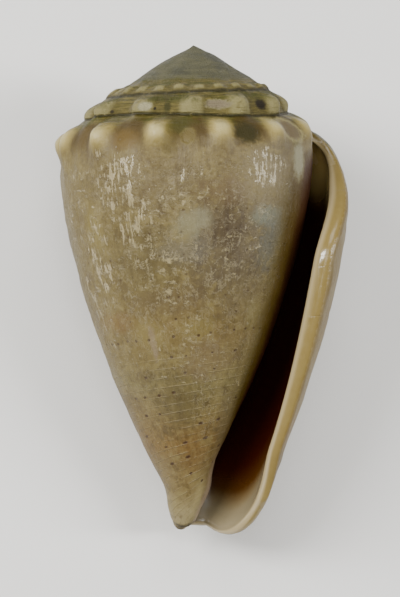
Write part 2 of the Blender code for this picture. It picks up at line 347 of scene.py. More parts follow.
def on_spire(radius, depth):
    """Radius and depth, with everything near the tip worn down to a plain cone."""
    worn = 1 - smooth(WORN_FROM, WORN_TO, max(radius, depth / CAP_SLOPE))
    return radius, mix(depth, CAP_SLOPE * radius, worn)


def parietal_share(turn, depth):
    """1 on the polished wall that the mouth faces, and 0 on the outside of the last turn."""
    return smooth(*PARIETAL_TURNS, -turn) * smooth(*PARIETAL_TOP, depth) * (1 - smooth(*BASE_FADE, depth))


print("a strip of the outside has", COLUMNS, "columns in each turn")

# %% [markdown]
# ## The outside
#
# From the tip down, the outside has four stretches: the worn cone, the shoulders of all the turns, a
# collar, and the long side. The side goes on behind the lip as the wall of the pillar inside the hollow.

# %% Places on the outside
CAP_BULGE = 0.2
CAP_TIP_SHARE = 0.3
WORN_KNOB = 0.42
WORN_LEDGE = 0.08
WORN_KNOB_PHASE = 0.011
WORN_KNOB_FROM, WORN_KNOB_FULL = 0.2, 0.5
WORN_KNOB_ROUND = 0.7
WORN_KNOB_UNEVEN = 0.3
WORN_KNOB_OUT = 0.7
WORN_ROOM = 1.6
BEHIND_TURNS = (1, 1.12)


def outside_corner(back, depth, mouth=0, behind=0):
    turn = turn_at(back, depth)
    radius, deep = on_spire(outer_radius(turn, depth), depth)
    return place(turn, deep, radius), (turn, depth), (mouth, 0, behind, parietal_share(turn, depth))


def cap_corner(back, share):
    """From the tip of the spire to the edge of its worn cone, which is a little rounded."""
    depth = seam_depth(CAP_TURN) * share
    turn = LIP_TURN - back
    raised = depth - CAP_BULGE * math.sin(math.pi * share) * smooth(0, CAP_TIP_SHARE, share)
    return place(turn, raised, depth / CAP_SLOPE), (turn - SPIRE_TURNS + 1, depth), (0, 0, 0, 0)


def worn_knob(turn, share):
    """What is left of the knobs of the oldest turn that shows, between the worn cone and its seam."""
    top = seam_depth(CAP_TURN)
    room = (seam_depth(turn + 1) - top) / (seam_depth(CAP_TURN + 1) - top)
    across = max(0, math.sin(math.pi * share)) ** WORN_KNOB_ROUND
    phase = 2 * KNOBS_PER_TURN * (turn + WORN_KNOB_PHASE)
    uneven = 1 - WORN_KNOB_UNEVEN + WORN_KNOB_UNEVEN * math.sin(UNEVEN_STEP * round(phase))
    crest = (0.5 + 0.5 * math.cos(math.tau * phase)) * uneven
    height = mix(WORN_LEDGE, WORN_KNOB, crest * smooth(WORN_KNOB_FROM, WORN_KNOB_FULL, share))
    return height * across * min(1, WORN_ROOM * room)


def shoulder_corner(back, share):
    """From the seam above this turn, share 0, to the seam below it, share 1."""
    turn = LIP_TURN - back
    if turn >= CAP_TURN:
        spot, on_coil, masks = outside_corner(back, mix(seam_depth(turn), seam_depth(turn + 1), share))
        fading = 1 - smooth(CAP_TURN, CAP_TURN + CAP_FADE, turn)
    else:
        depth = mix(seam_depth(CAP_TURN), seam_depth(turn + 1), share)
        spot, on_coil, masks = place(turn, depth, depth / CAP_SLOPE), (turn, depth), (0, 0, 0, 0)
        fading = 1
    if fading > 0:
        outward = Vector((spot.x, spot.y, 0)).normalized() + Vector((0, 0, 1))
        spot = spot + outward * (WORN_KNOB_OUT * fading * worn_knob(turn, share))
    return spot, on_coil, masks


def collar_corner(back, share, mouth=0):
    """From the seam below this turn to the level of the next turn's ceiling."""
    turn = LIP_TURN - back
    return outside_corner(back, mix(seam_depth(turn + 1), ceiling_depth(turn + 1), share), mouth)


def side_corner(back, share):
    """From the collar down to the rim, outside and on round the pillar inside the hollow."""
    top = ceiling_depth(LIP_TURN - back + 1)
    depth = mix(top, rim_depth(min(back, 1)), share)
    # behind marks the pillar's wall inside the hollow, which the material paints near black as painted
    # shade.
    behind = smooth(*BEHIND_TURNS, back) * (1 - smooth(*BASE_FADE, depth))
    return outside_corner(back, depth, 0, behind)


print("the tip of the pillar is at", [round(value, 1) for value in side_corner(0.6, 1)[0]])

# %% [markdown]
# ## The inside
#
# The inside has as many rows as the lip, so the two can be joined face to face. At the mouth its rows
# keep pace with the lip's, and at the far end they gather at the ceiling, where the hollow closes.

# %% Places on the inside
BASE_PALE = 0.85


def inside_share(row, back):
    above = SHOULDER_ROWS + LIP_ROWS
    depths = [seam_depth(LIP_TURN), seam_depth(LIP_TURN + 1), ceiling_depth(LIP_TURN + 1), rim_depth(0)]
    if row <= SHOULDER_ROWS:
        depth = mix(depths[0], depths[1], row / SHOULDER_ROWS)
    elif row <= above:
        depth = mix(depths[1], depths[2], (row - SHOULDER_ROWS) / LIP_ROWS)
    else:
        depth = mix(depths[2], depths[3], (row - above) / SIDE_ROWS)
    at_lip = (depth - depths[0]) / (depths[3] - depths[0])
    at_end = max(0, (row - above) / SIDE_ROWS)
    return mix(at_lip, at_end, smooth(ROWS_GATHER_FROM, HOLLOW_TURNS, back))


def inward(back, turn, depth, radius):
    """How far a place inside is from the mouth's edge, in mm. The pale border is wider at the base."""
    from_lip = math.tau * radius * (turn_at(0, depth) - turn)
    from_rim = BASE_PALE * (rim_depth(back) - depth)
    return 1 / math.hypot(1 / max(0.01, from_lip), 1 / max(0.01, from_rim))


def inside_corner(back, row):
    depth = mix(ceiling_depth(LIP_TURN - back), rim_depth(back), inside_share(row, back))
    closing = max(0, (back - HOLLOW_CLOSES) / (HOLLOW_TURNS - HOLLOW_CLOSES))
    open_share = math.sqrt(max(0, 1 - closing * closing))
    turn = turn_at(back, depth)
    radius = inner_radius(turn, depth, open_share)
    return place(turn, depth, radius), (turn, depth), (1, inward(back, turn, depth, radius), 0, 0)


def lip_row_corner(row):
    """The outside of the lip at one of the rows that its inside has too."""
    if row <= SHOULDER_ROWS:
        return shoulder_corner(0, row / SHOULDER_ROWS)
    if row <= SHOULDER_ROWS + LIP_ROWS:
        return collar_corner(0, (row - SHOULDER_ROWS) / LIP_ROWS)
    return side_corner(0, (row - SHOULDER_ROWS - LIP_ROWS) / SIDE_ROWS)


print("the inside has", HOLLOW, "columns and", ROWS, "rows")

# %% [markdown]
# ## The rounded edge
#
# A real lip is not cut square. A half round joins the outside to the inside down the lip and along the
# rim at the base, and it bulges the way the shell was growing.

# %% The lip's edge and the rim
EDGE_BULGE = 0.8
EDGE_DOWN = 0.6
EDGE_DOWN_FROM = 0.75
RIM_FACES_DOWN = 0.25
EDGE_FADES = 12


def rounded_edge(outside, inside, ahead, across):
    """A corner on the half round from the outside, across 0, to the inside, across 1."""
    angle = math.pi * across
    middle = (outside[0] + inside[0]) / 2
    half = (outside[0] - inside[0]) / 2
    spot = middle + half * math.cos(angle) + ahead * (half.length * EDGE_BULGE * math.sin(angle))
    on_coil = [mix(first, last, across) for first, last in zip(outside[1], inside[1])]
    masks = [mix(first, last, across) for first, last in zip(outside[2], inside[2])]
    return spot, on_coil, masks


def ahead_of(turn, down):
    angle = math.tau * turn
    along = Vector((-math.sin(angle), -math.cos(angle), 0))
    return mix(along, Vector((0, 0, -1)), down).normalized()


def lip_corner(row, across):
    if row == 0:
        return collar_corner(1, across, across)
    outside, inside = lip_row_corner(row), inside_corner(0, row)
    ahead = ahead_of(turn_at(0, outside[1][1]), EDGE_DOWN * smooth(EDGE_DOWN_FROM, 1, row / ROWS))
    return rounded_edge(outside, inside, ahead * smooth(0, EDGE_FADES, row), across)


def rim_corner(back, across):
    outside, inside = side_corner(back, 1), inside_corner(back, ROWS)
    down = mix(EDGE_DOWN, 1, smooth(0, RIM_FACES_DOWN, back))
    return rounded_edge(outside, inside, ahead_of(turn_at(back, outside[1][1]), down), across)


print("the lip's edge has", LIP_ROWS, "faces across it")

# %% [markdown]
# ## Joining the strips
#
# The strips share their borders exactly, so `remove_doubles` sews them together. The one opening left,
# the foot of the pillar, is filled with a fan of triangles.

# %% Make the shell's mesh
FOOT_ON_COIL = (-0.6, 44.2)
UNEVEN_HEIGHT = 0.09
UNEVEN_WIDE, UNEVEN_FINE = 0.42, 1.3
WELD = 0.004


def close_foot(shape):
    edges = [edge for edge in shape.edges if edge.is_boundary]
    foot = bmesh.ops.contextual_create(shape, geom=edges)["faces"]
    middle = bmesh.ops.poke(shape, faces=foot)["verts"][0]
    for name in MASKS:
        middle[shape.verts.layers.float[name]] = 0
    growth = shape.loops.layers.uv["growth"]
    for face in middle.link_faces:
        for loop in face.loops:
            loop[growth].uv = FOOT_ON_COIL


def roughen(shape):
    """Gives the outside the faint unevenness of a thing that grew. The mouth stays smooth."""
    inside = [shape.verts.layers.float[name] for name in ("mouth", "behind")]
    for vertex in shape.verts:
        if max(vertex[layer] for layer in inside) > 0:
            continue
        uneven = noise.noise(vertex.co * UNEVEN_WIDE) + 0.5 * noise.noise(vertex.co * UNEVEN_FINE)
        vertex.co += vertex.normal * (UNEVEN_HEIGHT * uneven)


def sewn_strips():
    shape = bmesh.new()
    for name in MASKS:
        shape.verts.layers.float.new(name)
    shape.loops.layers.uv.new("growth")
    spire = round(COLUMNS * SPIRE_TURNS)
    add_strip(shape, COLUMNS, CAP_RINGS, lambda i, j: cap_corner(i / COLUMNS, j / CAP_RINGS))
    add_strip(shape, spire, SHOULDER_ROWS, lambda i, j: shoulder_corner(i / COLUMNS, j / SHOULDER_ROWS))
    add_strip(shape, COLUMNS, LIP_ROWS, lambda i, j: collar_corner(i / COLUMNS, j / LIP_ROWS))
    add_strip(shape, COLUMNS + HOLLOW, SIDE_ROWS, lambda i, j: side_corner(i / COLUMNS, j / SIDE_ROWS))
    add_strip(shape, HOLLOW, ROWS, lambda i, j: inside_corner(i / COLUMNS, j))
    add_strip(shape, ROWS, LIP_ROWS, lambda i, j: lip_corner(i, j / LIP_ROWS))
    add_strip(shape, HOLLOW, LIP_ROWS, lambda i, j: rim_corner(i / COLUMNS, j / LIP_ROWS))
    bmesh.ops.remove_doubles(shape, verts=shape.verts, dist=WELD)
    close_foot(shape)
    bmesh.ops.recalc_face_normals(shape, faces=shape.faces)
    shape.normal_update()
    roughen(shape)
    return shape


shape = sewn_strips()
print("open edges", sum(not edge.is_manifold for edge in shape.edges), "faces", len(shape.faces))

# %% [markdown]
# ## Lying down
#
# A cone shell can't stand on its point, so it lies on its back. It is rolled by ROLL degrees, which puts
# its centre of mass over the place that it rests on, and its tip is lowered by TIP_LOWERED degrees, so that
# the side touches the floor. There its back is worn flat by a third of a millimetre. The solid was laid
# down in the same way.

# %% Lay the shell on its back
ROLL = 19.2
TIP_LOWERED = 12.8
WORN_FLAT = 0.34
upright_to_lying = (
    Matrix.Rotation(math.radians(TIP_LOWERED - 90), 3, "X") @ Matrix.Rotation(math.radians(-ROLL), 3, "Z")
)


def wear_flat(shape):
    """Takes off the lowest WORN_FLAT of the shell, where its back lies on the floor."""
    lowest = min(vertex.co.z for vertex in shape.verts)
    everything = shape.verts[:] + shape.edges[:] + shape.faces[:]
    level = (0, 0, lowest + WORN_FLAT * MM)
    cut = bmesh.ops.bisect_plane(
        shape, geom=everything, dist=1e-7, plane_co=level, plane_no=(0, 0, 1), clear_inner=True
    )
    edges = [part for part in cut["geom_cut"] if isinstance(part, bmesh.types.BMEdge)]
    bmesh.ops.contextual_create(shape, geom=edges)


def lay_down(shape):
    bmesh.ops.scale(shape, vec=(MM, MM, MM), verts=shape.verts)
    bmesh.ops.rotate(shape, verts=shape.verts, cent=(0, 0, 0), matrix=upright_to_lying)
    wear_flat(shape)
    corners = [[vertex.co[axis] for vertex in shape.verts] for axis in range(3)]
    low, high = [min(values) for values in corners], [max(values) for values in corners]
    middle = Vector(((low[0] + high[0]) / 2, (low[1] + high[1]) / 2, low[2]))
    bmesh.ops.translate(shape, verts=shape.verts, vec=-middle)
    return -middle


tip_of_spire = lay_down(shape)
print("the tip of the spire is at", [round(value / MM, 1) for value in tip_of_spire])

# %% Make the object
scene = bpy.context.scene
mesh = bpy.data.meshes.new("cone_shell")
shape.to_mesh(mesh)
shape.free()
mesh.shade_smooth()
shell = bpy.data.objects.new("cone_shell", mesh)
scene.collection.objects.link(shell)
print("triangles", sum(len(face.vertices) - 2 for face in mesh.polygons))

# %% [markdown]
# ## Materials
#
# The whole shell has one material, because one finish of the wall passes into the next without a border.
# The colours are painted by the same two numbers that gave the shape. First come some helpers, which all
# work in the node tree that `tree` names, and then a few node groups that each make one mask.

# %% Helpers for nodes
SHADE = (0.405, 0.368, 0.245)


def linear(*seen):
    """A colour as it looks in the light of the studio, 0 to 255, turned into the wall's own colour."""
    return tuple(share * (value / 255) ** 2.2 for share, value in zip(SHADE, seen)) + (1,)


def fill(sockets, values):
    """Fills sockets by name or number: another socket is linked, and a plain value is set."""
    for key, value in values.items():
        if isinstance(value, bpy.types.NodeSocket):
            tree.links.new(value, sockets[key])
        else:
            sockets[key].default_value = value


def put(kind, values, **settings):
    """Adds a node to the tree that is open, with these settings and these inputs."""
    made = tree.nodes.new(kind)
    for name, value in settings.items():
        setattr(made, name, value)
    fill(made.inputs, values)
    return made


def use(group, values):
    return put("ShaderNodeGroup", values, node_tree=group).outputs


def calc(operation, first, second=0, third=0):
    return put("ShaderNodeMath", {0: first, 1: second, 2: third}, operation=operation).outputs[0]


def plus(first, second):
    return calc("ADD", first, second)


def minus(first, second):
    return calc("SUBTRACT", first, second)


def scaled(value, by, shift):
    """The value times by, plus shift."""
    return calc("MULTIPLY_ADD", value, by, shift)


def times(*values):
    """The product of masks."""
    product = values[0]
    for value in values[1:]:
        product = calc("MULTIPLY", product, value)
    return product


def length(first, second):
    """The length of the slanting side that these two sides give."""
    return calc("SQRT", plus(times(first, first), times(second, second)))


def both(first, second):
    """One mask over another, whichever is stronger."""
    return calc("MAXIMUM", first, second)


def ramp(value, low, high, to_low=0, to_high=1):
    """A smooth step of value from low to high. low may be the larger of the two."""
    if low > high:
        low, high, to_low, to_high = high, low, to_high, to_low
    values = {"Value": value, "From Min": low, "From Max": high, "To Min": to_low, "To Max": to_high}
    return put("ShaderNodeMapRange", values, interpolation_type="SMOOTHSTEP").outputs["Result"]


def between(value, starts, full, fades, gone):
    """A mask that rises to 1 and falls to 0 again as value grows."""
    return times(ramp(value, starts, full), ramp(value, gone, fades))


def tint(share, first, second):
    """The first colour where share is 0, and the second where it is 1."""
    made = put("ShaderNodeMix", {}, data_type="RGBA")
    sockets = {socket.identifier: socket for socket in [*made.inputs, *made.outputs]}
    fill(sockets, {"Factor_Float": share, "A_Color": first, "B_Color": second})
    return sockets["Result_Color"]


def paint(under, seen, *shares):
    """Lays a colour over another, where all these masks and strengths let it."""
    return tint(times(*shares), under, linear(*seen))


def bands(value, colours):
    """Colours that pass into one another as the value goes from 0 to 1."""
    made = put("ShaderNodeValToRGB", {0: value})
    stops = made.color_ramp.elements
    while len(stops) < len(colours):
        stops.new(0.5)
    for stop, (position, seen) in zip(stops, colours):
        stop.position = position
        stop.color = linear(*seen)
    return made.outputs["Color"]


def mottle(vector, scale, detail=4, roughness=0.55, distortion=0):
    values = {"Vector": vector, "Scale": scale, "Detail": detail, "Roughness": roughness}
    values["Distortion"] = distortion
    return put("ShaderNodeTexNoise", values).outputs["Fac"]


def wave(phase):
    """1 at every whole number and 0 halfway between two, along a cosine."""
    return scaled(calc("COSINE", times(phase, math.tau)), 0.5, 0.5)


def mask(name):
    return put("ShaderNodeAttribute", {}, attribute_name=name).outputs["Fac"]


print("node helpers are ready")

# %% [markdown]
# ## Groups
#
# A node group is a small tool of its own. Those here take the two growth numbers, most of them as a
# vector with the turn in X and the depth in Y, and give back masks.

# %% Open a group
MM_A_TURN = 70.0


def open_group(name, wanted, given):
    """Makes a group with these inputs and outputs, and gives its tree and its two end nodes."""
    tree = bpy.data.node_groups.new(name, "ShaderNodeTree")
    for label, kind in wanted:
        tree.interface.new_socket(label, in_out="INPUT", socket_type=kind)
    for label in given:
        tree.interface.new_socket(label, in_out="OUTPUT", socket_type="NodeSocketFloat")
    return tree, tree.nodes.new("NodeGroupInput"), tree.nodes.new("NodeGroupOutput")


def apart(growth):
    """The turn and the depth that a growth vector holds."""
    parts = put("ShaderNodeSeparateXYZ", {0: growth}).outputs
    return parts["X"], parts["Y"]


def stretched(turn, depth, along_turn, along_depth, shift=0):
    """A vector for a texture that is stretched along the growth lines or across them."""
    moved = scaled(turn, along_turn * MM_A_TURN, shift)
    values = {"X": moved, "Y": times(depth, along_depth), "Z": shift}
    return put("ShaderNodeCombineXYZ", values).outputs[0]


VECTOR, FLOAT = "NodeSocketVector", "NodeSocketFloat"

# %% [markdown]
# The shell grew in thin layers at its lip, and each layer left a faint line. A wave texture would draw the
# lines too evenly. A noise that is stretched along the lip gives lines that part, join and fade.

# %% Group: growth lines
tree, start, end = open_group("growth_lines", [("growth", VECTOR)], ["broad", "fine"])
turn, depth = apart(start.outputs["growth"])
broad = mottle(stretched(turn, depth, 1, 0.07), 1.1, 3, 0.6)
fine = mottle(stretched(turn, depth, 1, 0.11, 5), 3.4, 3, 0.6)
fill(end.inputs, {"broad": ramp(broad, 0.3, 0.7), "fine": ramp(fine, 0.3, 0.7)})
growth_lines = tree
print("the growth lines take", len(tree.nodes), "nodes")

# %% [markdown]
# The skin that once covered the shell has worn to a broken, glossy film. It is left in short upright
# dashes, fewer level ones, and thin curling lines, which are the contours of a noise. Its pale colour is
# partly a painted highlight, laid where the lamps glint on the film.

# %% Group: broken film
FILM_FROM = 0.78
FILM_SOFT = 0.05
wanted = [("growth", VECTOR), ("upright", FLOAT), ("level", FLOAT), ("curls", FLOAT)]
tree, start, end = open_group("broken_film_and_glint", wanted, ["film_and_glint", "pits"])
turn, depth = apart(start.outputs["growth"])
uprights = mottle(stretched(turn, depth, 1, 0.17, 3), 3.2, 3, 0.65, 0.15)
levels = mottle(stretched(turn, depth, 0.4, 1, 8), 2.8, 4, 0.7, 0.3)
gaps = mottle(stretched(turn, depth, 0.8, 1, 31), 1.2, 4, 0.75)
winding = mottle(stretched(turn, depth, 1, 0.85, 12), 0.8, 5, 0.75, 0.4)
contour = calc("ABSOLUTE", minus(calc("FRACT", times(winding, 5)), 0.5))


def left_over(pattern, amount, most):
    """Where the film is left: nowhere at amount 0, and in a share of the places at amount 1."""
    return ramp(minus(pattern, scaled(amount, -most, FILM_FROM)), 0, FILM_SOFT)


broken = scaled(gaps, 0.7, -0.35)
film_and_glint = left_over(plus(uprights, broken), start.outputs["upright"], 0.29)
film_and_glint = both(film_and_glint, left_over(plus(levels, broken), start.outputs["level"], 0.25))
curled = times(ramp(contour, 0.18, 0.05), ramp(gaps, 0.44, 0.5), start.outputs["curls"], 0.7)
specks = mottle(stretched(turn, depth, 1, 1, 20), 3.4, 2, 0.7)
fill(end.inputs, {"film_and_glint": both(film_and_glint, curled), "pits": ramp(specks, 0.66, 0.74)})
broken_film_and_glint = tree
print("the broken film takes", len(tree.nodes), "nodes")

# %% [markdown]
# Small dark dots stand in rows that climb round the shell. Row numbers come from a logarithm, since the
# rows draw closer towards the base. Within a row, each dot has a cell of its own, and a hash of the
# cell's number moves the dot or leaves it out.

# %% Group: rows of dots and raised spiral lines
ROW_RISE = -0.17
ROW_GAP, ROW_GAP_LESS = 2.843, 0.0289
ROW_PHASE = 0.9
DOT_CELL = 1.05
DOT_WIDE, DOT_HIGH = 0.125, 0.11
DOT_SOFT = 0.35
DOTS_LEFT_OUT = 0.5
BARREL_RADIUS, BARREL_CURVE = 13.9, 0.0073
CORDS_PER_ROW = 2
CORD_WIDE = (0.14, 0.03)
tree, start, end = open_group("dot_rows", [("growth", VECTOR)], ["dots", "cords"])
turn, depth = apart(start.outputs["growth"])
height = times(depth, calc("EXPONENT", times(turn, ROW_RISE)))
gap = both(scaled(height, -ROW_GAP_LESS, ROW_GAP), 0.4)
row = scaled(calc("LOGARITHM", gap, math.e), -1 / ROW_GAP_LESS, ROW_PHASE)
number = calc("FLOOR", row)
own_gap = calc("EXPONENT", scaled(number, -ROW_GAP_LESS, (ROW_PHASE - 0.5) * ROW_GAP_LESS))
own_depth = calc("DIVIDE", minus(ROW_GAP, own_gap), ROW_GAP_LESS)
radius = scaled(times(own_depth, own_depth), -BARREL_CURVE, BARREL_RADIUS)
along = times(turn, both(radius, 2), math.tau / DOT_CELL)
cell = calc("FLOOR", along)
key = put("ShaderNodeCombineXYZ", {"X": cell, "Y": number}).outputs[0]
chance = put("ShaderNodeTexWhiteNoise", {"Vector": key}, noise_dimensions="2D")
shares = put("ShaderNodeSeparateColor", {0: chance.outputs["Color"]})
aside = scaled(shares.outputs["Red"], 0.4, 0.3)
up = scaled(shares.outputs["Green"], 0.16, 0.42)
across = times(minus(minus(along, cell), aside), DOT_CELL / DOT_WIDE)
upright = times(minus(minus(row, number), up), gap, 0.8 / DOT_HIGH)
size = scaled(shares.outputs["Blue"], 0.5, 0.6)
there = calc("GREATER_THAN", chance.outputs["Value"], DOTS_LEFT_OUT)
dots = times(ramp(minus(length(across, upright), size), DOT_SOFT, -DOT_SOFT), there)
cord = calc("ABSOLUTE", minus(calc("FRACT", scaled(row, CORDS_PER_ROW, 0.3)), 0.5))
fill(end.inputs, {"dots": dots, "cords": ramp(times(cord, gap), *CORD_WIDE)})
dot_rows = tree
print("halfway down the lip the rows are", round(ROW_GAP - ROW_GAP_LESS * LENGTH / 2, 2), "mm apart")

# %% [markdown]
# The next group finds the shoulder. It gives the drop below the shoulder's top and below the seam, and
# the cosine that raised the knobs, so that cream sits on the knobs and dirt in the grooves between.

# %% Group: shoulder
labels = ["drop", "below seam", "above seam", "crest"]
tree, start, end = open_group("shoulder", [("growth", VECTOR)], labels)
turn, depth = apart(start.outputs["growth"])
top = times(calc("POWER", SEAM_GROWTH, turn), SEAM_DEPTH)
size = calc("POWER", TURN_GROWTH, turn)
below_top = minus(depth, top)


def sag_at(shift):
    """The seam's sag, shift turns further on."""
    aside = scaled(turn, 1 / SAG_REACH, (shift - SAG_TURN) / SAG_REACH)
    aside = calc("MINIMUM", calc("ABSOLUTE", aside), 1)
    sagging = calc("COSINE", times(aside, math.pi))
    return scaled(sagging, SEAM_SAG / 2, SEAM_SAG / 2)


stagger = ramp(turn, KNOBS_STAGGER_FROM, KNOBS_STAGGER_TO, 0.5, 0)
phase = plus(scaled(turn, KNOBS_PER_TURN, KNOBS_PER_TURN * KNOB_PHASE), stagger)
found = {
    "drop": calc("DIVIDE", below_top, size),
    "below seam": calc("DIVIDE", minus(below_top, sag_at(0)), size),
    "above seam": minus(scaled(top, SEAM_GROWTH, sag_at(1)), depth),
    "crest": wave(phase),
}
fill(end.inputs, found)
shoulder = tree
print("the shoulder group gives", labels)

# %% [markdown]
# Scars, stains and clouds are not regular, so each gets its own place. The group makes one soft ellipse
# with a ragged border.

# %% Group: patch
PATCH_INPUTS = ["turn", "depth", "at turn", "at depth", "wide", "high", "lean", "wobble"]
tree, start, end = open_group("patch", [(label, FLOAT) for label in PATCH_INPUTS], ["reach"])
given = start.outputs
below = minus(given["depth"], given["at depth"])
across = plus(times(minus(given["turn"], given["at turn"]), MM_A_TURN), times(below, given["lean"]))
reach = length(calc("DIVIDE", across, given["wide"]), calc("DIVIDE", below, given["high"]))
fill(end.inputs, {"reach": plus(reach, given["wobble"])})
patch_group = tree
print("a patch takes", PATCH_INPUTS)

# %% [markdown]
# ## The worn wall
#
# The material starts with the colour of the side, and lays the rest over it, from what is in the wall to
# what is on it: the clouds, the growth lines, spiral lines and dots, the film with painted highlights, the
# ledges and knobs with painted shade in the grooves, the stains, green growth and dirt, and the chalky cap.
# Last come the wall beside the mouth with painted shade, the scars, and the inside with its lip, its
# painted shade, a painted glow and a painted highlight.

# %% Coordinates and masks
worn = bpy.data.materials.new("worn_shell")
worn.use_nodes = True
tree = worn.node_tree
shader = tree.nodes["Principled BSDF"]
growth = put("ShaderNodeUVMap", {}, uv_map="growth").outputs["UV"]
turn, depth = apart(growth)
in_metres = put("ShaderNodeTexCoord", {}).outputs["Object"]
spot = put("ShaderNodeVectorMath", {0: in_metres, "Scale": 1 / MM}, operation="SCALE").outputs[0]
mouth, from_lip = mask("mouth"), mask("from_lip")
behind, parietal = mask("behind"), mask("parietal")
lines = use(growth_lines, {"growth": growth})
rows = use(dot_rows, {"growth": growth})
knobs = use(shoulder, {"growth": growth})
drop, crest = knobs["drop"], knobs["crest"]
below_seam, above_seam = knobs["below seam"], knobs["above seam"]
coarse = mottle(spot, 0.16, 3, 0.5)
medium = mottle(spot, 0.55, 4, 0.6)
small = mottle(spot, 2.2, 4, 0.6)
tiny = mottle(spot, 6.5, 3, 0.6)
wobble = scaled(small, 0.9, -0.45)
wide_wobble = plus(scaled(medium, 2.6, -1.3), wobble)


def patch(where, soft, ragged, ragged_by=wobble, lean=0):
    """1 in an ellipse, given as its middle's turn and depth, half its width and half its height."""
    values = (turn, depth, *where, lean, times(ragged_by, ragged))
    return ramp(use(patch_group, dict(zip(PATCH_INPUTS, values)))["reach"], 1 + soft / 2, 1 - soft / 2)


fine_crest = wave(scaled(turn, 2 * KNOBS_PER_TURN, 2 * KNOBS_PER_TURN * WORN_KNOB_PHASE))
last_turn = ramp(turn, -1.1, -1)
on_side = ramp(depth, 9.5, 12.5)
print("the material reads the masks", MASKS)

# %% [markdown]
# The side passes from olive at the shoulder to grey brown, brown, and cream at the base, and it is mottled
# all over. A ramp down the depth gives the order of the colours. Five layers of noise break it up, because
# a real wall has no even tone.

# %% Colour of the side
SIDE_COLOURS = [
    (0, (150, 138, 92)),
    (0.2, (152, 138, 98)),
    (0.34, (138, 126, 98)),
    (0.5, (134, 124, 98)),
    (0.62, (146, 128, 90)),
    (0.72, (150, 142, 108)),
    (0.84, (150, 124, 82)),
    (0.92, (156, 140, 106)),
    (0.97, (192, 182, 156)),
]
colour = bands(scaled(coarse, 0.12, calc("DIVIDE", depth, LENGTH + 2)), SIDE_COLOURS)
olive_side = times(ramp(turn, -0.74, -0.56), ramp(depth, 36, 22))
colour = paint(colour, (138, 124, 68), olive_side, 0.7)
# The colour, the pattern, where its mask starts and is full, and the strength.
mottling = [
    ((116, 104, 84), coarse, 0.5, 0.7, 0.5),
    ((170, 158, 118), medium, 0.53, 0.66, 0.5),
    ((102, 84, 54), medium, 0.48, 0.34, 0.55),
    ((104, 90, 56), small, 0.48, 0.36, 0.4),
    ((182, 172, 136), small, 0.54, 0.66, 0.3),
]
for seen, pattern, starts, full, strength in mottling:
    colour = paint(colour, seen, ramp(pattern, starts, full), strength)
print(len(SIDE_COLOURS), "colours down the side, and", len(mottling), "layers of mottling")

# %% [markdown]
# Pale, grey and brown clouds show through the worn wall. A noise would put them anywhere, so each cloud is
# one patch at its own place on the coil.

# %% Clouds in the wall
# The turn and depth of the middle, half the width and height, the colour and the strength.
CLOUDS = [
    (-0.795, 18.6, 4.2, 4.6, (110, 100, 98), 0.65),
    (-0.68, 20, 3, 3.6, (112, 102, 70), 0.55),
    (-0.75, 16.2, 1.4, 1, (176, 176, 164), 0.7),
    (-0.735, 17.2, 1.3, 1.2, (170, 170, 154), 0.65),
    (-0.738, 18.9, 2.4, 1.1, (134, 132, 134), 0.6),
    (-0.855, 15.9, 1.5, 0.9, (154, 166, 170), 0.75),
    (-0.868, 18.4, 1.5, 2.2, (118, 126, 138), 0.7),
    (-0.795, 16.6, 1.3, 2.6, (78, 62, 54), 0.6),
    (-0.79, 13.6, 2.6, 1.3, (132, 112, 90), 0.5),
    (-0.835, 23.5, 2.6, 1.8, (136, 124, 96), 0.5),
    (-0.60, 17, 1, 2, (168, 156, 96), 0.6),
    (-0.60, 25.4, 2.4, 0.9, (152, 120, 70), 0.5),
    (-0.665, 26.6, 1.8, 1.2, (170, 158, 112), 0.6),
    (-0.75, 26.2, 2, 1.1, (164, 152, 106), 0.6),
    (-0.86, 24.8, 1.2, 1.3, (166, 158, 118), 0.6),
    (-0.668, 27.6, 0.4, 1.6, (176, 160, 158), 0.6),
    (-0.88, 28.5, 2.2, 2.6, (134, 124, 96), 0.5),
    (-0.72, 37.5, 3.4, 2, (140, 108, 66), 0.45),
    (-0.70, 32.5, 4.4, 2.6, (102, 92, 68), 0.65),
    (-0.78, 41.6, 3, 1.7, (190, 178, 142), 0.75),
    (-0.845, 12.6, 2.4, 2.2, (176, 166, 146), 0.6),
    (-0.77, 29, 3.4, 1.8, (146, 130, 112), 0.6),
    (-0.86, 34, 2.2, 2.6, (128, 118, 100), 0.55),
    (-0.70, 23.6, 3.6, 1.2, (132, 118, 96), 0.5),
    (-0.87, 38.6, 1.6, 1.2, (156, 122, 82), 0.5),
    (-0.30, 17.5, 3.2, 2.6, (134, 136, 122), 0.6),
    (-0.20, 24, 2.4, 2.6, (160, 148, 108), 0.5),
    (-0.42, 21.5, 2.6, 1.8, (116, 98, 76), 0.5),
    (-0.12, 14.5, 2.2, 2, (166, 158, 124), 0.5),
    (-0.35, 32, 2.4, 1.6, (152, 120, 74), 0.5),
]
for *where, seen, strength in CLOUDS:
    colour = paint(colour, seen, patch(where, 1.1, 0.8, wide_wobble), strength)
print(len(CLOUDS), "clouds")

# %% [markdown]
# Next come the marks that the animal made, and what is left of the skin over them. The flakes lie closer
# together in some places than in others, so each kind of flake has a list of places. The thick places
# are also where the pale film carries painted highlights.

# %% Growth lines, dots and film
colour = paint(colour, (172, 160, 120), lines["broad"], 0.22)
dark_lines = ramp(lines["fine"], 0.4, 0)
colour = paint(colour, (88, 74, 46), dark_lines, ramp(depth, 34, 24, 0.3, 1), 0.18)
off_lip = ramp(turn, -0.04, -0.14)
cords = times(rows["cords"], ramp(depth, 26.5, 31), ramp(medium, 0.36, 0.6), off_lip)
colour = paint(colour, (190, 176, 138), cords, 0.35)
dots = times(rows["dots"], between(depth, 13.5, 15, 40, 42), last_turn)
dots = times(dots, ramp(depth, 21, 29, 0.6, 1))
colour = paint(colour, (76, 48, 20), dots, 0.85)
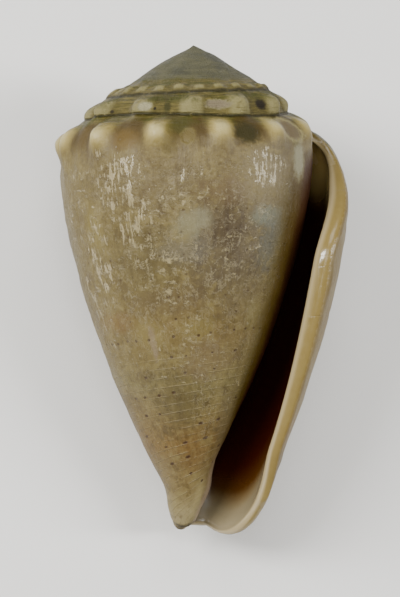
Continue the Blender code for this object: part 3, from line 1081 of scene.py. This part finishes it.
# Where the film, with its painted highlight, is thick: the middle's turn and depth, half the width and
# height, and how thick.
UPRIGHT_FILM_AND_GLINT = [
    (-0.65, 12.6, 2.4, 2.8, 1),
    (-0.665, 16, 2.2, 2.6, 0.9),
    (-0.845, 11.6, 2.2, 2.6, 1),
    (-0.60, 20.5, 1.7, 5, 0.85),
    (-0.69, 19.5, 2, 3, 0.75),
    (-0.76, 12.4, 3.4, 1.8, 0.55),
    (-0.56, 24, 1.2, 4, 0.8),
    (-0.10, 13.5, 3.4, 3.2, 0.8),
    (-0.46, 13.5, 3, 3.4, 0.8),
    (-0.30, 15, 3, 3, 0.6),
]
LEVEL_FILM_AND_GLINT = [
    (-0.75, 14.2, 3.4, 1.1, 0.9),
    (-0.70, 21, 3, 3.2, 0.8),
    (-0.80, 21.5, 3, 2.2, 0.7),
    (-0.74, 29, 4.4, 5, 0.7),
    (-0.86, 32, 2, 1.6, 0.8),
    (-0.28, 21.5, 4.4, 4, 0.7),
]
CURLED_FILM_AND_GLINT = [
    (-0.71, 20.6, 3.6, 3, 1),
    (-0.80, 20.4, 3.2, 3.2, 0.9),
    (-0.83, 16, 3, 2, 0.8),
    (-0.72, 14.6, 2.6, 1, 0.6),
    (-0.66, 24, 2.6, 2, 0.6),
    (-0.78, 33, 2.6, 3.4, 0.6),
    (-0.30, 19.5, 4, 3, 0.8),
]


def film_and_glint_share(places, least):
    share = times(between(depth, 10, 12, 26, 38), least)
    for *where, strength in places:
        share = both(share, times(patch(where, 1.3, 0.5, wide_wobble), strength))
    return share


shares = {
    "growth": growth,
    "upright": film_and_glint_share(UPRIGHT_FILM_AND_GLINT, 0.35),
    "level": film_and_glint_share(LEVEL_FILM_AND_GLINT, 0.5),
    "curls": film_and_glint_share(CURLED_FILM_AND_GLINT, 0.35),
}
film_and_glint_node = use(broken_film_and_glint, shares)
film_and_glint = times(film_and_glint_node["film_and_glint"], last_turn, ramp(drop, 1.6, 2.8), ramp(parietal, 0.35, 0.1), off_lip)
# Pale film, partly a painted highlight where the lamps glint.
colour = paint(colour, (236, 226, 200), film_and_glint, 0.55)
pits = times(film_and_glint_node["pits"], between(depth, 11, 14, 22, 30), last_turn)
colour = paint(colour, (84, 66, 44), pits, 0.6)
print("the film is thick in", len(UPRIGHT_FILM_AND_GLINT + LEVEL_FILM_AND_GLINT + CURLED_FILM_AND_GLINT), "places")

# %% [markdown]
# The knobs are the first to be rubbed, so they are worn to a bare cream. Olive dirt stays in the grooves
# and on the ledge above the shoulder, and the grooves are darkened further with painted shade. All of this
# follows the drop and the cosine from the shoulder group, so no knob is placed by hand.

# %% Knobs, grooves and the ledge
ledge_lines = mottle(stretched(turn, below_seam, 0.12, 1, 40), 3.6, 4, 0.65, 0.3)
ledge = times(ramp(below_seam, 2, 0.7), ramp(turn, -2.6, -2.2))
on_ledge = tint(ramp(ledge_lines, 0.4, 0.62), linear(94, 90, 38), linear(138, 130, 76))
colour = tint(times(ledge, 0.85), colour, on_ledge)
olive = times(ramp(turn, -0.98, -1.06), ramp(turn, -3.6, -3.4))
colour = tint(times(olive, 0.8), colour, on_ledge)
groove_wide = scaled(drop, -0.11, crest)
groove_dirt_and_shade = times(ramp(groove_wide, 0.5, 0.05), between(drop, 0.5, 1.2, 2.4, 4.6))
# The grooves between the knobs: olive dirt and painted shade.
colour = paint(colour, (92, 76, 30), groove_dirt_and_shade, last_turn, 0.9)
knob_high = between(drop, 0.8, 1.5, 2.2, 4.4)
knob_here = times(ramp(crest, 0.5, 0.9), knob_high, ramp(turn, -0.1, -0.2))
colour = paint(colour, (216, 200, 136), knob_here, last_turn, 0.85)
knob_heart = times(ramp(crest, 0.78, 1), between(drop, 1.1, 1.8, 2, 3.4))
colour = paint(colour, (252, 244, 204), knob_heart, last_turn, 0.75)
worn_turn = ramp(turn, -2.3, -2.5)
knob_old = times(ramp(crest, 0.4, 0.8), ramp(drop, 0.5, 1.1), olive, ramp(medium, 0.3, 0.46))
knob_old = times(knob_old, minus(1, worn_turn))
knob_worn = times(ramp(fine_crest, 0.35, 0.75), worn_turn, ramp(depth, 3.85, 4.1))
knob_worn = times(knob_worn, ramp(above_seam, 0.1, 0.35))
colour = paint(colour, (184, 180, 142), both(knob_old, knob_worn), 0.85)
print(KNOBS_PER_TURN, "knobs in each turn, and twice as many on the oldest")

# %% [markdown]
# Dirt and green growth gather where nothing rubs, in the seams and on the shoulder. A noise makes them
# patchy, and the single stains get places of their own. The tip of the spire is worn to grey chalk.

# %% Stains, dirt and green growth
# The same six as for a cloud.
STAINS = [
    (-0.658, 8.9, 1.4, 0.9, (138, 114, 56), 0.6),
    (-0.822, 8.4, 1.3, 0.95, (66, 62, 10), 0.95),
    (-0.728, 7.7, 1.1, 0.7, (86, 86, 26), 0.75),
    (-0.72, 9.3, 0.7, 1.1, (112, 100, 44), 0.6),
    (-0.583, 8.6, 0.7, 1.2, (114, 96, 48), 0.6),
    (-0.91, 9.6, 0.5, 1.3, (92, 88, 34), 0.6),
    (-0.30, 8.7, 1.6, 1, (84, 80, 28), 0.7),
    (-0.12, 8.6, 1.4, 0.9, (124, 96, 44), 0.6),
    (-0.02, 9.3, 2, 1.5, (98, 94, 36), 0.7),
    (-1.70, 5.15, 2, 0.35, (70, 70, 22), 0.7),
    (-1.88, 5.7, 0.75, 0.5, (40, 30, 8), 0.95),
    (-1.705, 6, 0.4, 0.5, (66, 68, 18), 0.8),
    (-1.60, 6.25, 0.18, 0.15, (40, 32, 14), 0.8),
    (-1.685, 6.1, 0.12, 0.12, (30, 24, 10), 0.9),
]
for *where, seen, strength in STAINS:
    colour = paint(colour, seen, patch(where, 0.9, 1), strength)
green = times(ramp(medium, 0.42, 0.58), ramp(drop, 2.1, 0.7), ramp(turn, -3.6, -3.4))
colour = paint(colour, (86, 92, 22), green, ramp(small, 0.3, 0.55), 0.8)
seam_line = times(ramp(below_seam, 0.3, 0.05), ramp(turn, -2.9, -2.4))
seam_over = times(ramp(above_seam, 0.2, 0.02), ramp(turn, -0.98, -1.04))
seam_dirt = times(both(seam_line, seam_over), ramp(small, 0.25, 0.5))
colour = paint(colour, (52, 50, 18), seam_dirt, 0.85)
cap = ramp(scaled(medium, 0.9, depth), 4, 3.65)
chalk = tint(ramp(medium, 0.38, 0.62), linear(84, 87, 72), linear(116, 118, 103))
rings = mottle(stretched(turn, depth, 0.03, 1, 50), 3.2, 2, 0.5)
chalk = paint(chalk, (132, 133, 118), ramp(rings, 0.48, 0.62), 0.4)
colour = tint(cap, colour, chalk)
cap_dirt = times(cap, ramp(depth, 1.9, 2.9), ramp(tiny, 0.56, 0.64))
colour = paint(colour, (86, 84, 46), cap_dirt, 0.7)
print(len(STAINS), "single stains")

# %% [markdown]
# On the wall that faces the mouth the film is gone, and the wall turns olive, then brown, then nearly
# black where it goes into the hollow. The olive and brown are partly its own colour and partly painted
# shade of the lip, and the near black on the pillar inside the hollow is painted shade.

# %% The wall beside the mouth
brown_and_shade = plus(parietal, times(minus(small, 0.5), 0.08))
# Olive and brown beside the mouth: partly the wall's own colour, partly painted shade.
border = times(ramp(turn, -0.86, -0.9), between(depth, 11, 14, 31, 37))
colour = paint(colour, (112, 100, 52), border, 0.75)
colour = paint(colour, (106, 88, 34), ramp(brown_and_shade, 0.06, 0.2), ramp(depth, 38, 32))
colour = paint(colour, (84, 50, 18), ramp(brown_and_shade, 0.22, 0.52))
colour = paint(colour, (62, 24, 12), ramp(brown_and_shade, 0.5, 0.92))
pillar_edge = times(ramp(turn, -0.83, -0.91), ramp(depth, 36, 39.5))
colour = paint(colour, (192, 172, 168), pillar_edge, ramp(behind, 0.4, 0), 0.75)
# The pillar's wall inside the hollow is painted near black: painted shade.
colour = paint(colour, (52, 16, 9), ramp(behind, 0, 0.5))
print("the wall turns brown from", PARIETAL_TURNS[0], "to", PARIETAL_TURNS[1], "turns back")

# %% [markdown]
# The shoulder bears a few old chips, grey or chalky inside, with a rim of another tone. Each scar is two
# patches, one inside the other: the outer one is its rim, and the inner one is its heart, which also lies
# a little lower in the relief.

# %% Scars
# As for a cloud, with the lean before the colours, of which the second is the rim's.
HEART_SHARE = 0.76
SCARS = [
    (-0.908, 8.1, 1.9, 1.15, 0.35, (132, 118, 98), (200, 194, 156), 0.95),
    (-0.742, 8.7, 0.7, 0.8, -0.15, (126, 112, 74), (160, 150, 100), 0.45),
    (-0.915, 10.9, 1.2, 1.9, 0, (196, 200, 192), (170, 164, 136), 0.65),
    (-1.79, 5.75, 1.7, 0.45, 0, (158, 148, 142), (180, 176, 158), 0.8),
    (-1.672, 5.9, 0.6, 0.45, 0, (216, 216, 200), (190, 190, 170), 0.9),
    (-1.64, 5.95, 0.5, 0.4, 0, (150, 142, 116), (136, 130, 98), 0.6),
]
scars = 0.0
for *middle, wide, high, lean, heart, rim, strength in SCARS:
    whole = patch([*middle, wide, high], 0.4, 1.1, lean=lean)
    inner = patch([*middle, wide * HEART_SHARE, high * HEART_SHARE], 0.5, 1.1, lean=lean)
    colour = paint(colour, rim, whole, strength)
    colour = paint(colour, heart, inner, strength)
    scars = both(scars, inner)
print(len(SCARS), "scars")

# %% [markdown]
# Inside, the wall is cream at the lip and turns brown and nearly black within about a centimetre, partly
# its own violet brown and partly painted shade deeper in the hollow. The mesh keeps the distance from the
# lip, so one ramp paints all of it, whatever the mouth's shape. Under the shoulder the inside is painted
# far brighter, a painted glow for light through the thin lip. The lip's own edge gets a pale line, where it
# is
# polished: partly a pale rim and partly a painted highlight.

# %% The inside of the wall
NOTCH_TONE_AND_GLOW = (0.85, 0.6, 0.19, 1)
INSIDE_TONES_AND_SHADE = [
    (0, (206, 188, 140)),
    (0.05, (226, 212, 184)),
    (0.12, (186, 170, 132)),
    (0.22, (142, 116, 74)),
    (0.34, (104, 68, 34)),
    (0.5, (84, 34, 18)),
    (1, (66, 20, 12)),
]
# From cream at the lip to nearly black inside: partly the wall's own violet brown, partly painted shade.
deeper = scaled(small, 0.06, times(from_lip, ramp(depth, 23, 36, 0.07, 0.14)))
inside = bands(minus(deeper, 0.03), INSIDE_TONES_AND_SHADE)
# Under the shoulder the inside is painted much brighter than its olive tan: a painted glow for light
# through the thin lip.
notch_glow = times(ramp(depth, 15.5, 10.5), between(from_lip, 0.4, 1.4, 6, 9))
inside = tint(notch_glow, inside, NOTCH_TONE_AND_GLOW)
lilac = times(ramp(depth, 34, 39), ramp(from_lip, 2.4, 1), 0.8)
inside = paint(inside, (178, 170, 162), lilac)
colour = tint(ramp(mouth, 0.45, 0.75), colour, inside)
edge = between(mouth, 0.02, 0.2, 0.75, 1)
colour = paint(colour, (190, 170, 116), edge, 0.75)
# A pale line along the lip's inner edge: partly its own pale rim, partly a painted highlight.
pale_rim_and_glint = between(mouth, 0.5, 0.7, 0.85, 1)
colour = paint(colour, (250, 236, 216), pale_rim_and_glint, 0.75)
lip_skin = times(ramp(turn, -0.09, -0.03), on_side, ramp(mouth, 0.3, 0.1), ramp(depth, 40, 36))
colour = paint(colour, (168, 144, 92), lip_skin, 0.45)
lip_dirt = times(lip_skin, ramp(turn, 0.02, -0.02), ramp(small, 0.53, 0.62))
colour = paint(colour, (96, 72, 32), lip_dirt, 0.7)
print(len(INSIDE_TONES_AND_SHADE), "colours from the lip inwards")

# %% [markdown]
# The film and the lip shine, and the chalk and the dirt are dull. The finest relief is only a bump, because
# it is too shallow to change the outline.

# %% Gloss and relief of the wall
BUMP_STRENGTH, BUMP_HEIGHT_MM = 0.8, 0.14
polished = ramp(mouth, 0, 0.3)
rougher = [
    (film_and_glint, -0.2),
    (both(times(cap, 0.7), olive), 0.12),
    (both(green, groove_dirt_and_shade), 0.15),
    (times(knob_heart, last_turn), -0.1),
    (polished, -0.26),
]
rough = scaled(small, 0.2, 0.34)
for part, amount in rougher:
    rough = scaled(part, amount, rough)
raised = [
    (tiny, 0.35),
    (small, 0.5),
    (film_and_glint, 0.5),
    (cords, 0.45),
    (dots, -0.35),
    (pits, -0.5),
    (times(ledge_lines, both(ledge, olive)), 1.6),
    (times(both(times(cap, 0.5), olive), small), 1.2),
    (seam_dirt, -1.2),
    (scars, -0.8),
]
relief = times(lines["fine"], 0.12)
for part, amount in raised:
    relief = scaled(part, amount, relief)
relief = times(relief, ramp(mouth, 0.5, 0, 0.12, 1))
bump = put("ShaderNodeBump", {"Height": relief, "Strength": BUMP_STRENGTH, "Distance": BUMP_HEIGHT_MM * MM})
finish = {"Base Color": colour, "Roughness": rough, "Normal": bump.outputs["Normal"]}
finish["Specular IOR Level"] = scaled(both(film_and_glint, polished), 0.4, 0.28)
fill(shader.inputs, finish)
mesh.materials.append(worn)
print("the material has", len(tree.nodes), "nodes")

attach(shell, "root")
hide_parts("shell")

# %% [markdown]
# ## The floor, the lights and the camera
#
# The shell lies on a plain pale floor. The camera looks at it square to its axis, through a long lens.

# %% Floor
FLOOR_SIZE = 3.0
bpy.ops.mesh.primitive_plane_add(size=FLOOR_SIZE)
floor = bpy.context.object
floor.name = "floor"
paper = bpy.data.materials.new("pale_paper")
paper.use_nodes = True
paper_shader = paper.node_tree.nodes["Principled BSDF"]
fill(paper_shader.inputs, {"Base Color": (0.76, 0.75, 0.72, 1), "Roughness": 0.8})
floor.data.materials.append(paper)
floor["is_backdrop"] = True
print("the floor is", FLOOR_SIZE, "m wide")

# %% Camera
FRAME_HEIGHT_MM = 55.05
VIEW_MIDDLE_MM = (0.33, 0, -23.37)
CAMERA_AWAY = 0.5
SENSOR_HEIGHT = 24.0
PICTURE_LEAN = -0.7

toward_camera = upright_to_lying @ Vector((0, -1, 0))
lean = Matrix.Rotation(math.radians(PICTURE_LEAN), 3, toward_camera)
picture_up = lean @ (upright_to_lying @ Vector((0, 0, 1)))
picture_right = picture_up.cross(toward_camera)
target = upright_to_lying @ (Vector(VIEW_MIDDLE_MM) * MM) + tip_of_spire
camera_data = bpy.data.cameras.new("camera")
camera = bpy.data.objects.new("camera", camera_data)
scene.collection.objects.link(camera)
turned = Matrix((picture_right, picture_up, toward_camera)).transposed().to_4x4()
camera.matrix_world = Matrix.Translation(target + toward_camera * CAMERA_AWAY) @ turned
camera_data.sensor_fit = "VERTICAL"
camera_data.sensor_height = SENSOR_HEIGHT
camera_data.lens = SENSOR_HEIGHT * CAMERA_AWAY / (FRAME_HEIGHT_MM * MM)
camera_data.clip_start = 0.01
scene.camera = camera
print("the camera looks down at", round(math.degrees(math.asin(toward_camera.z)), 1), "degrees")

# %% Lights


def soft_light(name, direction, away, power, wide, high):
    """A soft light this far from the shell, in this direction."""
    data = bpy.data.lights.new(name, "AREA")
    data.shape = "RECTANGLE"
    data.size, data.size_y = wide, high
    data.energy = power
    light = bpy.data.objects.new(name, data)
    light.location = target + Vector(direction).normalized() * away
    light.rotation_euler = (light.location - target).to_track_quat("Z", "Y").to_euler()
    scene.collection.objects.link(light)


soft_light("left_light", (-1, 0.2, 0.8), 0.4, 2.75, 0.12, 0.26)
soft_light("right_light", (0.85, -0.1, 0.8), 0.45, 2.1, 0.07, 0.45)
soft_light("top_light", (-0.1, 0.8, 1), 0.6, 1, 0.3, 0.3)
soft_light("front_light", (-0.3, -0.1, 1), 0.6, 0.9, 0.25, 0.25)
world = bpy.data.worlds.new("soft_room")
world.use_nodes = True
fill(world.node_tree.nodes["Background"].inputs, {"Color": (1, 0.98, 0.95, 1), "Strength": 0.2})
scene.world = world

# %% Sizes, and finish
new_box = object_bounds()
proud = [round((new - old) / MM, 2) for old, new in zip(cad_box[1], new_box[1])]
print("the mesh stands proud of the solid by", proud, "mm")
